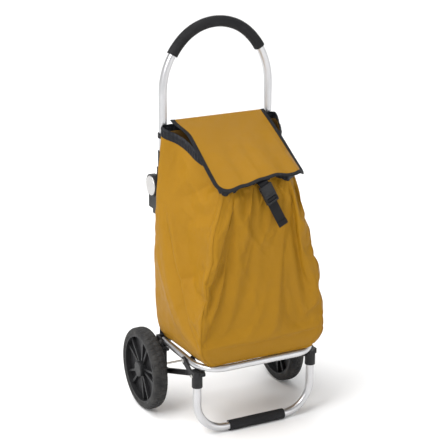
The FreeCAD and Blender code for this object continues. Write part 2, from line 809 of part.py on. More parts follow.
def across(wide):
    return (f"-({wide}) / 2", f"({wide}) / 2")


socket_deep = ("-buckle_deep - 2", "-2")
socket_body = box("socket_body", across("buckle_wide"), socket_deep, ("0", "24"))
socket_hollow = box("socket_hollow", across("buckle_wide - 4"),
                    ("-buckle_deep", "-4"), ("-1", "20"))
socket_windows = box("socket_windows", across("buckle_wide + 4"),
                     ("-buckle_deep + 0.5", "-4.5"), ("8", "18"))
socket_slot = box("socket_slot", across("strap_wide"), ("-buckle_deep / 2 - 3.2",
                                                        "-buckle_deep / 2 - 0.8"),
                  ("20", "25"))
keep("buckle_socket", lay_buckle(cut("buckle_socket", socket_body,
                                     [socket_hollow, socket_windows, socket_slot])))

plug_deep = ("-buckle_deep + 0.3", "-4.3")
plug_pieces = [
    box("plug_shoulder", across("buckle_wide"), socket_deep, ("-6", "-0.6")),
    box("plug_tail_bar", across("buckle_wide"), socket_deep, ("-20", "-16")),
    box("plug_middle_bar", across("buckle_wide"), ("-buckle_deep - 1", "-4"), ("-12", "-10")),
    box("plug_rib", across("6"), plug_deep, ("-2", "17")),
]
for word, side in SIDES.items():
    plug_pieces.append(side_box(f"plug_side_{word}", side, "buckle_wide / 2 - 2.5",
                                "buckle_wide / 2", socket_deep, ("-20", "-2")))
    plug_pieces.append(side_box(f"plug_arm_{word}", side, "buckle_wide / 2 - 5.5",
                                "buckle_wide / 2 - 2.6", plug_deep, ("-2", "15")))
    plug_pieces.append(side_box(f"plug_barb_{word}", side, "buckle_wide / 2 - 5.5",
                                "buckle_wide / 2 + 0.5", ("-buckle_deep + 0.8", "-4.8"),
                                ("9", "15")))
keep("buckle_plug", lay_buckle(fuse("buckle_plug", plug_pieces)))

keep("closure_strap", lay_buckle(group("closure_strap", [
    box("strap_run", across("strap_wide"), ("-strap_thick - 0.1", "-0.1"),
        ("-strap_tail", "-4"))])))
keep("flap_tab", lay_buckle(group("flap_tab", [
    box("tab_run", across("strap_wide - 0.4"), ("-buckle_deep / 2 - 2.9",
                                                "-buckle_deep / 2 - 1.1"), ("20.2", "27"))])))


# ---------------------------------------------------------------- check and write

doc.recompute()
for item in doc.Objects:
    if "Invalid" in item.State or "Error" in item.State:
        raise RuntimeError(f"{item.Name} did not compute: {item.State}")
for name, piece in parts.items():
    if piece.Shape.isNull() or not piece.Shape.isValid() or not piece.Shape.Solids:
        raise RuntimeError(f"{name} has no valid solid")

os.makedirs("parts", exist_ok=True)
for name, piece in parts.items():
    piece.Shape.exportStep(f"parts/{name}.step")
print(len(parts), "sub-parts written")
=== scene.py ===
import json
import math

import bmesh
import bpy
import numpy as np
from mathutils import Matrix, Vector, noise

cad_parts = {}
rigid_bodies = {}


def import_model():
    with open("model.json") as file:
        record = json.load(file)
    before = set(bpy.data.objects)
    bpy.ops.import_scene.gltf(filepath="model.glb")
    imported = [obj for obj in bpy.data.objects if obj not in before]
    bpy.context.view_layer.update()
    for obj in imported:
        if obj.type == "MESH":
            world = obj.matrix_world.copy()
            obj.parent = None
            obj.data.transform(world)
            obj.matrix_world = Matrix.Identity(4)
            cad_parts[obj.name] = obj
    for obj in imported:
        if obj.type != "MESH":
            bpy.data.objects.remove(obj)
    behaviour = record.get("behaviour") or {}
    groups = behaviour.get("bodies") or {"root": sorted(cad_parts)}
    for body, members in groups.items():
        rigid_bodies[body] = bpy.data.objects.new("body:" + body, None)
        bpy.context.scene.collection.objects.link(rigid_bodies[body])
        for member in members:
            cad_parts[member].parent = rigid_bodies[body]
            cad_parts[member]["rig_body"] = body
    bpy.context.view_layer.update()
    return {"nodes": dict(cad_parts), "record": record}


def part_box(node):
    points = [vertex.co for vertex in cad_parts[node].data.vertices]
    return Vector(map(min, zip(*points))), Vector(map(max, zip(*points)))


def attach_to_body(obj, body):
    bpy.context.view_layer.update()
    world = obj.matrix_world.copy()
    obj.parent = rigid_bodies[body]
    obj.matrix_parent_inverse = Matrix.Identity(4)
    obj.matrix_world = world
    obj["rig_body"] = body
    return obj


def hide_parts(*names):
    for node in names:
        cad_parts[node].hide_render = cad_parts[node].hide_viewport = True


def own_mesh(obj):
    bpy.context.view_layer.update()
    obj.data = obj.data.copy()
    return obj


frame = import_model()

# Folding shopping trolley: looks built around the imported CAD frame. Everything is in metres in
# the CAD frame: +Z up, the trolley's front towards -Y, its left side at negative X.

NODES = frame["nodes"]
MM = 0.001


# ---------------------------------------------------------------- camera, floor and light

# Where the photograph was taken from, fitted to the wheels, the tubes and the handle.
CAMERA_PLACE = (-1.5604, -3.0658, 1.5827)
CAMERA_AZIMUTH = math.radians(27.30)
CAMERA_PITCH = math.radians(18.36)
CAMERA_ROLL = math.radians(0.24)
CAMERA_LENS = 121.7
STUDIO_MIDDLE = (0, -0.1, 0.5)
# Radius and height of the rings that the floor is made of.
FLOOR_RINGS = [(0.5, 0), (2, 0), (5, 0), (7, 0.15), (8, 0.45), (9, 0.95), (10, 1.7), (12, 3.5),
               (15, 6.4)]
FLOOR_SPOKES = 72


def make_camera():
    """A long lens a little above the handle, looking down at the trolley's front left."""
    data = bpy.data.cameras.new("camera")
    data.lens = CAMERA_LENS
    data.sensor_width = 36
    camera = bpy.data.objects.new("camera", data)
    camera.matrix_world = (Matrix.Translation(CAMERA_PLACE)
                           @ Matrix.Rotation(-CAMERA_AZIMUTH, 4, "Z")
                           @ Matrix.Rotation(math.pi / 2 - CAMERA_PITCH, 4, "X")
                           @ Matrix.Rotation(CAMERA_ROLL, 4, "Z"))
    bpy.context.scene.collection.objects.link(camera)
    bpy.context.scene.camera = camera


def area_light(name, place, size, power):
    """A round white lamp that faces the middle of the trolley."""
    data = bpy.data.lights.new(name, "AREA")
    data.shape = "DISK"
    data.size = size
    data.energy = power
    light = bpy.data.objects.new(name, data)
    light.location = place
    ahead = Vector(STUDIO_MIDDLE) - Vector(place)
    light.rotation_euler = ahead.to_track_quat("-Z", "Y").to_euler()
    bpy.context.scene.collection.objects.link(light)


def make_studio():
    """Soft light from the upper left, a wide overhead light and an evenly lit white room."""
    area_light("key", (-2.4, -1.3, 2.5), 1.6, 64)
    area_light("fill", (1.6, -2.6, 1.3), 2.0, 10)
    area_light("rim", (1.2, 2.2, 2.4), 1.5, 18)
    sky = bpy.data.lights.new("overhead", "SUN")
    sky.energy = 2.2
    sky.angle = math.radians(50)
    overhead = bpy.data.objects.new("overhead", sky)
    overhead.rotation_euler = Vector((0.35, -0.1, -1)).to_track_quat("-Z", "Y").to_euler()
    bpy.context.scene.collection.objects.link(overhead)
    world = bpy.data.worlds.new("studio")
    world.use_nodes = True
    room = world.node_tree.nodes["Background"]
    room.inputs["Color"].default_value = (1, 1, 1, 1)
    room.inputs["Strength"].default_value = 0.42
    bpy.context.scene.world = world
    bpy.context.scene.view_settings.view_transform = "Standard"


def make_floor():
    """A pale floor, flat under the trolley and rising gently far behind it."""
    angles = [spoke * 2 * math.pi / FLOOR_SPOKES for spoke in range(FLOOR_SPOKES)]
    points = [(radius * math.cos(angle), radius * math.sin(angle), rise)
              for radius, rise in FLOOR_RINGS for angle in angles]
    faces = grid_faces(len(FLOOR_RINGS), FLOOR_SPOKES, closed=True)
    faces += [(FLOOR_SPOKES - 2 - k, k + 1, k, FLOOR_SPOKES - 1 - k)
              for k in range(FLOOR_SPOKES // 2 - 1)]
    mesh_object("floor", points, faces, [FLOOR])


# ---------------------------------------------------------------- procedural materials

# Thread to thread in the bag's cloth, in the mouth band and in sewing thread, and rib to rib in
# the webbing, in metres.
CLOTH_PITCH = 0.00055
NYLON_PITCH = 0.0004
THREAD_PITCH = 0.0004
WEBBING_PITCH = 0.0011


class Look:
    """A node material around one principled shader. Textures use metres, from UVs or objects."""

    def __init__(self, name, colour, roughness, metallic=0.0, uv=False):
        self.material = bpy.data.materials.new(name)
        self.material.use_nodes = True
        self.nodes = self.material.node_tree.nodes
        self.links = self.material.node_tree.links
        self.shader = self.nodes["Principled BSDF"]
        self.coords = self.add("ShaderNodeTexCoord").outputs["UV" if uv else "Object"]
        self.set("Base Color", (*colour, 1))
        self.set("Roughness", roughness)
        self.set("Metallic", metallic)
        self.set("Specular IOR Level", 0.5 if metallic else 0.18)
        self.material.diffuse_color = (*colour, 1)
        self.colour = colour
        self.normal = None

    def add(self, kind, sockets=(), **settings):
        node = self.nodes.new(kind)
        for key, value in settings.items():
            setattr(node, key, value)
        for key, value in dict(sockets).items():
            self.wire(node.inputs[key], value)
        return node

    def wire(self, socket, value):
        if isinstance(value, bpy.types.NodeSocket):
            self.links.new(value, socket)
        else:
            socket.default_value = value

    def set(self, name, value):
        self.wire(self.shader.inputs[name], value)

    def stretch(self, x, y, z):
        """Coordinates scaled differently along each axis."""
        return self.add("ShaderNodeMapping", {"Vector": self.coords,
                                              "Scale": (x, y, z)}).outputs["Vector"]

    def noise(self, scale, detail=2.0, vector=None):
        return self.add("ShaderNodeTexNoise", {"Vector": vector or self.coords, "Scale": scale,
                                               "Detail": detail}).outputs["Fac"]

    def cells(self, scale, feature="F1"):
        return self.add("ShaderNodeTexVoronoi", {"Vector": self.coords, "Scale": scale},
                        feature=feature).outputs["Distance"]

    def math(self, operation, a, b=0.0):
        return self.add("ShaderNodeMath", {0: a, 1: b}, operation=operation).outputs[0]

    def spread(self, value, low, high):
        """Stretch a 0 to 1 value over a new range."""
        return self.add("ShaderNodeMapRange", {"Value": value, "From Min": 0.3, "From Max": 0.7,
                                               "To Min": low, "To Max": high}).outputs["Result"]

    def mix(self, share, a, b):
        node = self.add("ShaderNodeMix", data_type="RGBA")
        for key, value in (("Factor_Float", share), ("A_Color", a), ("B_Color", b)):
            self.wire(next(s for s in node.inputs if s.identifier == key), value)
        return next(s for s in node.outputs if s.identifier == "Result_Color")

    def shade(self, share, dark, light):
        """Vary the colour between a darker and a lighter tone of it."""
        self.set("Base Color", self.mix(share, tone(self.colour, dark), tone(self.colour, light)))

    def roughness(self, share, low, high):
        self.set("Roughness", self.spread(share, low, high))

    def bump(self, height, depth, strength=1.0):
        """Add a relief, its depth in metres, over any earlier one."""
        sockets = {"Height": height, "Distance": depth, "Strength": strength}
        if self.normal:
            sockets["Normal"] = self.normal
        self.normal = self.add("ShaderNodeBump", sockets).outputs["Normal"]
        self.set("Normal", self.normal)
        return self


def tone(colour, factor):
    """A colour made lighter or darker."""
    return (*[min(1, channel * factor) for channel in colour], 1)


def weave(look, pitch, depth):
    """Plain weave: warp and weft threads take turns on top."""
    scaled = look.stretch(1 / pitch, 1 / pitch, 1)
    parts = look.add("ShaderNodeSeparateXYZ", {"Vector": scaled})
    across = [look.math("ABSOLUTE", look.math("SINE", look.math("MULTIPLY", parts.outputs[i],
                                                                math.pi))) for i in (0, 1)]
    turn = look.add("ShaderNodeTexChecker", {"Vector": scaled, "Scale": 1.0}).outputs["Fac"]
    height = look.add("ShaderNodeMix", {0: turn, 2: across[0], 3: across[1]}).outputs[0]
    look.bump(height, depth)
    return height


def polyester():
    """Coated plain-woven polyester with a satin face."""
    colour = (0.31, 0.152, 0.0075)
    look = Look("mustard_polyester", colour, 0.5, uv=True)
    height = weave(look, CLOTH_PITCH, 0.00012)
    cloudy = look.spread(look.noise(9, 3), 0.0, 1.0)
    thread = look.spread(look.noise(1, 2, look.stretch(60, 1800, 1)), 0.0, 0.35)
    shade = look.mix(cloudy, tone(colour, 0.93), tone(colour, 1.06))
    shade = look.mix(thread, shade, tone(colour, 0.86))
    # Where the weave stands highest the colour is mixed towards a lighter tone: a painted highlight
    # on the thread crowns.
    look.set("Base Color", look.mix(look.math("MULTIPLY", height, 0.25), shade,
                                    tone(colour, 1.18)))
    look.roughness(look.noise(40, 3), 0.42, 0.56)
    look.set("Specular IOR Level", 0.12)
    look.bump(look.noise(120, 4), 0.0009, 0.35)
    return look.material


def lining():
    """The coated inner face of the cloth."""
    look = Look("bag_lining", (0.16, 0.085, 0.02), 0.42, uv=True)
    look.shade(look.noise(30, 3), 0.75, 1.2)
    weave(look, CLOTH_PITCH, 0.00008)
    return look.material


def webbing(name, pitch, colour=(0.007, 0.007, 0.008)):
    """Ribbed woven tape: ribs run across its length, which is U."""
    look = Look(name, colour, 0.6, uv=True)
    parts = look.add("ShaderNodeSeparateXYZ", {"Vector": look.stretch(1 / pitch, 1 / pitch, 1)})
    rib = look.math("ABSOLUTE", look.math("SINE", look.math("MULTIPLY", parts.outputs[0],
                                                            math.pi)))
    fine = look.math("ABSOLUTE", look.math("SINE", look.math("MULTIPLY", parts.outputs[1],
                                                             2.5 * math.pi)))
    # The ribs' crowns are painted lighter and the grooves between them darker: painted highlight
    # and painted shade on the ribs.
    look.shade(rib, 0.6, 1.9)
    look.roughness(look.noise(300), 0.5, 0.72)
    look.bump(rib, 0.00018).bump(fine, 0.00006)
    return look.material


def nylon():
    """Thin black cloth of the gathered mouth band."""
    look = Look("black_nylon", (0.009, 0.0095, 0.012), 0.42, uv=True)
    weave(look, NYLON_PITCH, 0.00006)
    look.shade(look.noise(90, 3), 0.7, 1.8)
    look.bump(look.noise(260, 3), 0.0006, 0.5)
    return look.material


def aluminium():
    """Satin anodised tube with fine draw lines and faint handling marks."""
    look = Look("satin_aluminium", (0.56, 0.56, 0.57), 0.34, 1.0)
    drawn = look.noise(1, 3, look.stretch(1500, 1500, 26))
    look.shade(look.spread(look.noise(14, 4), 0, 1), 0.93, 1.05)
    look.roughness(look.math("ADD", look.math("MULTIPLY", drawn, 0.6),
                             look.math("MULTIPLY", look.noise(45, 4), 0.4)), 0.26, 0.42)
    look.bump(drawn, 0.00002, 0.5)
    return look.material


def steel():
    """Bright zinc-plated pins and rods."""
    look = Look("bright_steel", (0.62, 0.61, 0.59), 0.25, 1.0)
    look.shade(look.cells(700), 0.8, 1.1)
    look.roughness(look.noise(400, 3), 0.18, 0.4)
    look.bump(look.noise(900, 2), 0.00003, 0.4)
    return look.material


def moulding(name="black_moulding", colour=(0.016, 0.016, 0.017), low=0.36, high=0.52):
    """Moulded black plastic with a fine spark-eroded grain."""
    look = Look(name, colour, 0.45)
    look.shade(look.spread(look.noise(60, 4), 0, 1), 0.8, 1.35)
    look.roughness(look.noise(35, 3), low, high)
    look.bump(look.cells(1400), 0.00005, 0.6).bump(look.noise(500, 3), 0.00008, 0.4)
    return look.material


def silver_plastic():
    """Satin silver paint on the push buttons."""
    look = Look("button_silver", (0.55, 0.54, 0.53), 0.3, 0.75)
    look.shade(look.cells(2500), 0.86, 1.1)
    look.roughness(look.noise(70, 4), 0.24, 0.4)
    look.bump(look.noise(1800, 2), 0.00002, 0.5)
    return look.material


def foam():
    """Closed-cell foam: matte, with fine pores."""
    look = Look("black_foam", (0.013, 0.013, 0.014), 0.8)
    pores = look.cells(900)
    # The pore hollows are painted darker than the skin between them: painted shade in the pores.
    look.shade(pores, 0.55, 1.6)
    look.roughness(look.noise(50, 4), 0.62, 0.85)
    look.bump(pores, 0.00025, 0.7).bump(look.noise(110, 4), 0.0006, 0.4)
    return look.material


def tyre_rubber():
    """Moulded rubber, a little dusty on the tread."""
    colour = (0.02, 0.02, 0.021)
    look = Look("black_tyre", colour, 0.6)
    dust = look.spread(look.noise(38, 5), 0.0, 0.6)
    look.set("Base Color", look.mix(dust, tone(colour, 0.8), (0.055, 0.053, 0.05, 1)))
    look.roughness(look.noise(80, 3), 0.5, 0.78)
    look.bump(look.noise(420, 4), 0.00015, 0.6)
    return look.material


def floor_look():
    """Pale matt floor, faintly cloudy."""
    look = Look("studio_floor", (0.9, 0.9, 0.9), 0.6)
    look.set("Base Color", look.mix(look.noise(2, 3), (0.89, 0.89, 0.89, 1),
                                    (0.92, 0.92, 0.92, 1)))
    return look.material


LOOKS = {
    "satin_aluminium": aluminium(),
    "black_moulding": moulding(),
    "button_silver": silver_plastic(),
    "black_foam": foam(),
    "black_tyre": tyre_rubber(),
    "bright_steel": steel(),
    "black_steel": moulding("black_steel", (0.014, 0.014, 0.015), 0.3, 0.42),
    "mustard_polyester": polyester(),
    "black_webbing": webbing("black_webbing", WEBBING_PITCH),
}
LINING = lining()
NYLON = nylon()
THREAD = webbing("sewing_thread", THREAD_PITCH, (0.32, 0.16, 0.02))
BLACK_THREAD = webbing("black_thread", THREAD_PITCH, (0.03, 0.03, 0.032))
FLOOR = floor_look()


# ---------------------------------------------------------------- mesh helpers

def mesh_object(name, points, faces, looks, uvs=None):
    """A smooth-shaded object from points, faces and UVs given per point."""
    data = bpy.data.meshes.new(name)
    data.from_pydata([tuple(p) for p in points], [], faces)
    if uvs is not None:
        layer = data.uv_layers.new(name="UVMap")
        corners = np.empty(len(data.loops), int)
        data.loops.foreach_get("vertex_index", corners)
        layer.data.foreach_set("uv", np.asarray(uvs, np.float32)[corners].ravel())
    data.polygons.foreach_set("use_smooth", [True] * len(data.polygons))
    for look in looks:
        data.materials.append(look)
    data.update()
    made = bpy.data.objects.new(name, data)
    bpy.context.scene.collection.objects.link(made)
    return made


def grid_faces(rows, columns, closed=False, start=0):
    """Quads over a grid of points stored row by row."""
    faces = []
    for row in range(rows - 1):
        for column in range(columns if closed else columns - 1):
            after = (column + 1) % columns
            low, high = start + row * columns, start + (row + 1) * columns
            faces.append((low + column, low + after, high + after, high + column))
    return faces


def unit(vectors):
    """Vectors scaled to length one."""
    return vectors / np.maximum(np.linalg.norm(vectors, axis=-1, keepdims=True), 1e-12)


def run_along(path):
    """Distance from a path's start to each of its points."""
    return np.concatenate([[0], np.cumsum(np.linalg.norm(np.diff(path, axis=0), axis=-1))])


def sampled(values, run, places):
    """Values given along a path, read at other places along it."""
    return np.stack([np.interp(places, run, values[:, k]) for k in range(values.shape[1])], 1)


def level_out(along):
    """Level outward directions beside directions that run anticlockwise round the bag."""
    return unit(np.stack([along[..., 1], -along[..., 0], np.zeros(along.shape[:-1])], -1))


def grid_uvs(across, up):
    """UVs in metres over a grid of points."""
    return np.stack(np.broadcast_arrays(across, up), -1).reshape(-1, 2)


def attach(piece, body, slot, *nodes):
    """Say which body a piece rides on and which CAD nodes it stands for; the slot argument is not
    used.
    """
    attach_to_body(piece, body)
    if nodes:
        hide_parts(*nodes)
    return piece


def body_of(node):
    return NODES[node]["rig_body"]


def slot_of(node):
    return next(item["material_slot"] for item in frame["record"]["subparts"]
                if item["node"] == node)


def smooth_step(value, low, high):
    """Rise gently from 0 at low to 1 at high."""
    share = np.clip((value - low) / (high - low), 0, 1)
    return share * share * (3 - 2 * share)


# ---------------------------------------------------------------- rounded mouldings

WELD_GAP = 0.00001
BEVEL_STEPS = 2


def softened(node, width):
    """A copy of a CAD moulding with the sharp edges rounded off, as a mould leaves them."""
    mesh = bmesh.new()
    mesh.from_mesh(NODES[node].data)
    bmesh.ops.remove_doubles(mesh, verts=mesh.verts, dist=WELD_GAP)
    bmesh.ops.dissolve_limit(mesh, angle_limit=math.radians(0.5), verts=mesh.verts,
                             edges=mesh.edges)
    bmesh.ops.recalc_face_normals(mesh, faces=mesh.faces)
    hard = [edge for edge in mesh.edges if len(edge.link_faces) == 2
            and edge.calc_face_angle(0) > math.radians(35)]
    bmesh.ops.bevel(mesh, geom=hard, offset=width, segments=BEVEL_STEPS, profile=0.6,
                    affect="EDGES", clamp_overlap=True)
    data = bpy.data.meshes.new(node + "_soft")
    mesh.to_mesh(data)
    mesh.free()
    data.polygons.foreach_set("use_smooth", [True] * len(data.polygons))
    data.set_sharp_from_angle(angle=math.radians(40))
    data.materials.append(LOOKS[slot_of(node)])
    piece = bpy.data.objects.new(node + "_rounded", data)
    bpy.context.scene.collection.objects.link(piece)
    return attach(piece, body_of(node), slot_of(node), node)


# ---------------------------------------------------------------- bag

# Height above the bag's foot, half width at the rear, half width at the front and reach of the
# front panel, in millimetres.
BAG_ROWS = np.array([
    (0, 143, 134, 236),
    (8, 152, 142, 238),
    (20, 160, 153, 241),
    (35, 165, 161, 243),
    (60, 169, 165, 244),
    (120, 172, 166, 244),
    (210, 172, 157, 243),
    (290, 170, 144, 240),
    (350, 168, 130, 232),
    (420, 163, 116, 214),
    (540, 150, 100, 184),
]) * MM
BAG_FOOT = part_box("bag")[0].z
BAG_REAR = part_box("bag")[1].y + 2.5 * MM
FLAP_LINE = Vector((0.010, -0.008, 0.711))
FLAP_SLOPE = math.radians(25)
BAND_HIGH = 20 * MM
BUCKLE = (Matrix.Translation((16 * MM, -225.5 * MM, 576 * MM))
          @ Matrix.Rotation(math.radians(-11), 4, "X") @ Matrix.Rotation(math.radians(-24), 4, "Y"))
# Where along its front edge the flap waves and how high it stands there, in millimetres.
FRONT_WAVE = np.array([(-150, -8), (-100, -22), (-40, -8), (5, 2), (40, 7), (75, 2), (98, 3),
                       (125, -15), (170, -18)]) * MM
# Points round the bag's plan outline, and rows of them from its foot to its mouth.
EDGE_COUNTS = [84, 54, 60, 54]
FRONT_COUNT, SIDE_COUNT, REAR_COUNT = EDGE_COUNTS[:3]
CORNER_COUNT = 6
CORNER_RADIUS = 13 * MM
HEIGHT_ROWS = 100
BAG_TOP = 0.72
LEVELS = 240
# The walls were cut as wide all the way up as at the belly, with a little spare height.
BELLY = 120 * MM
SPARE_HEIGHT = 1.015
# Gathers below the mouth: the column each one runs down, its spread in columns and its height
# in millimetres.
GATHERS = [(10, 4, 7), (22, 5, -5), (34, 4, 6), (45, 5, -6), (56, 4, 6), (68, 5, -6), (82, 4, 7),
           (93, 5, -8), (112, 6, 5), (128, 6, -5), (-12, 5, -8), (-28, 6, 5), (-44, 6, -5)]
CLOTH_FRAMES = 40
CLOTH_PRESSURE = 0.6
CLOTH_REACH = 26 * MM
# Rings of the bag's floor: their share of its full size and their drop in millimetres.
FLOOR_STEPS = [(0.10, 0.5), (0.4, 0.5), (0.7, 0.5), (0.9, 0.5), (0.98, 0.4)]


def mouth_height(y):
    """Height of the mouth's sloping plane above a place at depth y."""
    return FLAP_LINE.z + math.tan(FLAP_SLOPE) * (y - FLAP_LINE.y)


def flap_lift(x, y):
    """How far the flap waves up or down from its plane, growing towards its free edge."""
    x, y = np.asarray(x, float), np.asarray(y, float)
    places, lifts = FRONT_WAVE[:, 0], FRONT_WAVE[:, 1]
    step = np.clip(np.searchsorted(places, x) - 1, 0, len(places) - 2)
    share = smooth_step(x, places[step], places[step + 1])
    edge = lifts[step] + (lifts[step + 1] - lifts[step]) * share
    return edge * smooth_step((FLAP_LINE.y - y) / (215 * MM), 0.1, 1.0)


def bag_ring(height):
    """Plan outline of the bag at a height: points anticlockwise from the front left corner."""
    rise = height - BAG_FOOT
    rear_half, front_half, front = [np.interp(rise, BAG_ROWS[:, 0], BAG_ROWS[:, k])
                                    for k in (1, 2, 3)]
    tuck = smooth_step(rise, 300 * MM, 440 * MM)
    neck = smooth_step(rise, 370 * MM, 430 * MM)
    corners = [np.array(c) for c in ((-front_half + 46 * MM * tuck, -front + 22 * MM * tuck),
                                     (front_half - 16 * MM * neck, -front + 10 * MM * neck),
                                     (rear_half, BAG_REAR),
                                     (-rear_half, BAG_REAR))]
    points = []
    for index, corner in enumerate(corners):
        before, after = corners[index - 1], corners[(index + 1) % 4]
        into = (before - corner) / np.linalg.norm(before - corner) * CORNER_RADIUS
        leave = (after - corner) / np.linalg.norm(after - corner) * CORNER_RADIUS
        for t in np.linspace(0, 1, CORNER_COUNT):
            points.append(corner + into * (1 - t) ** 2 + leave * t ** 2)
        start = corner + leave
        back = (corner - after) / np.linalg.norm(corner - after) * CORNER_RADIUS
        for t in np.linspace(0, 1, EDGE_COUNTS[index] + 2)[1:-1]:
            points.append(start + (after + back - start) * t)
    points = np.array(points)
    bow = np.sin(np.linspace(0, math.pi, SIDE_COUNT))
    points[-SIDE_COUNT:, 0] += 14 * MM * tuck * bow
    return points


COLUMNS = len(bag_ring(BAG_FOOT))
FRONT_LEFT = CORNER_COUNT // 2
FRONT_RIGHT = CORNER_COUNT + FRONT_COUNT + CORNER_COUNT // 2
REAR_RIGHT = FRONT_RIGHT + CORNER_COUNT + SIDE_COUNT
REAR_LEFT = REAR_RIGHT + CORNER_COUNT + REAR_COUNT


def bag_grid():
    """The bag's walls as rows of points from its foot to the sloping mouth."""
    tops = np.full(COLUMNS, 0.65)
    for _ in range(8):
        rim = np.array([bag_ring(top)[i] for i, top in enumerate(tops)])
        tops = mouth_height(rim[:, 1]) + flap_lift(rim[:, 0], rim[:, 1]) - BAND_HIGH
    shares = np.linspace(0, 1, HEIGHT_ROWS)
    heights = BAG_FOOT + shares[:, None] * (tops - BAG_FOOT)
    levels = np.linspace(BAG_FOOT, BAG_TOP, LEVELS)
    rings = np.array([bag_ring(level) for level in levels])
    points = np.empty((HEIGHT_ROWS, COLUMNS, 3))
    for column in range(COLUMNS):
        for axis in (0, 1):
            points[:, column, axis] = np.interp(heights[:, column], levels,
                                                rings[:, column, axis])
    points[:, :, 2] = heights
    return points


def outward_normals(points, reach=1):
    """Level outward directions of every point of the wall grid."""
    return level_out(np.roll(points, -reach, 1) - np.roll(points, reach, 1))


def cut_shape(points):
    """The walls as they were cut and sewn: as wide at the mouth as lower down, with slack."""
    widest = bag_ring(BAG_FOOT + BELLY)
    rest = points.copy()
    rise = points[:, :, 2] - BAG_FOOT
    upper = np.clip((rise - BELLY) / (60 * MM), 0, 1)
    for axis in (0, 1):
        rest[..., axis] += (widest[:, axis] - rest[..., axis]) * upper
    steps = np.linalg.norm(np.diff(points, axis=0), axis=-1)
    length = np.vstack([np.zeros(COLUMNS), np.cumsum(steps, 0)])
    rest[..., 2] = BAG_FOOT + length * SPARE_HEIGHT
    return rest


def pleats(points):
    """Start of the gathers that run down from the mouth, and faint creases to grow from."""
    column = np.arange(COLUMNS)
    around = np.zeros(COLUMNS)
    for middle, width, height in GATHERS:
        around += height * MM * np.exp(-((column - middle % COLUMNS) / width) ** 2)
    share = np.linspace(0, 1, HEIGHT_ROWS)[:, None]
    reach = smooth_step(share, 0.5, 1.0)
    grain = np.array([[noise.noise(Vector(p) * 22) + 0.5 * noise.noise(Vector(p) * 55)
                       for p in row] for row in points])
    free = smooth_step(share, 0.2, 0.5)
    return points + outward_normals(points) * (around * reach + grain * 1.2 * MM * free)[..., None]


def pinned(points):
    """Which wall points are held: the floor's edge, the panel against the frame, the mouth."""
    held = np.zeros(points.shape[:2])
    held[points[:, :, 2] < BAG_FOOT + 45 * MM] = 1
    held[:, REAR_RIGHT - 1:REAR_LEFT + 3] = 1
    held[-1] = 1
    return held


def settled(piece, rest, held):
    """Let the cloth buckle from its cut size into the space that it hangs in."""
    piece.shape_key_add(name="Basis")
    cut = piece.shape_key_add(name="cut")
    cut.data.foreach_set("co", rest.ravel())
    cut.value = 0
    group = piece.vertex_groups.new(name="held")
    for index in np.flatnonzero(held):
        group.add([int(index)], float(held[index]), "REPLACE")
    cloth = piece.modifiers.new("cloth", "CLOTH")
    cloth.point_cache.frame_start, cloth.point_cache.frame_end = 1, CLOTH_FRAMES
    make = cloth.settings
    make.rest_shape_key = cut
    make.vertex_group_mass = "held"
    make.quality = 6
    make.mass = 0.12
    make.tension_stiffness = make.compression_stiffness = 18
    make.shear_stiffness = 6
    make.bending_stiffness = 1.2
    make.tension_damping = make.compression_damping = 12
    make.bending_damping = 1.0
    make.air_damping = 3
    make.use_pressure = True
    make.uniform_pressure_force = CLOTH_PRESSURE
    make.effector_weights.gravity = 0.15
    cloth.collision_settings.use_collision = False
    scene = bpy.context.scene
    for step in range(1, CLOTH_FRAMES + 1):
        scene.frame_set(step)
    shown = piece.evaluated_get(bpy.context.evaluated_depsgraph_get())
    points = np.array([v.co for v in shown.data.vertices])
    scene.frame_set(1)
    bpy.data.objects.remove(piece)
    return points


# Creases in the cloth: places (depth or distance across, height), how high the ridge or how deep
# the valley is, and how far it spreads to its left and to its right, all in millimetres.
SIDE_CREASES = [
    ([(-28, 435), (-44, 390), (-90, 322), (-128, 270), (-222, 219)], 5.5, 16, 34),
    ([(-120, 356), (-160, 382), (-208, 417)], -6, 12, 20),
    ([(-208, 417), (-228, 380), (-238, 346)], 5, 12, 14),
    ([(-200, 640), (-150, 596), (-127, 572), (-80, 548)], -8, 14, 24),
    ([(-60, 655), (-92, 612), (-100, 575)], 6, 12, 20),
    ([(-132, 488), (-175, 502), (-222, 520)], 4.5, 7, 14),
    ([(-150, 540), (-165, 450), (-150, 330), (-140, 240)], -3.5, 18, 30),
]
FRONT_CREASES = [
    ([(-42, 596), (-69, 542), (-78, 490)], 8, 10, 20),
    ([(-105, 598), (-124, 499), (-128, 430)], -6, 8, 16),
    ([(-99, 575), (-78, 608)], -7, 9, 9),
    ([(-59, 541), (-30, 490), (-2, 452), (12, 478), (23, 505)], 5.5, 10, 18),
    ([(-20, 600), (-32, 540), (-20, 500)], -5, 9, 12),
    ([(36, 609), (72, 566), (103, 519), (112, 470)], 9, 12, 22),
    ([(104, 590), (103, 560), (100, 520)], -9, 8, 10),
    ([(100, 520), (75, 473), (63, 415), (60, 350), (70, 280), (112, 235), (170, 228)], -6, 9, 26),
    ([(-60, 420), (-20, 360), (-10, 280)], 3, 22, 34),
]


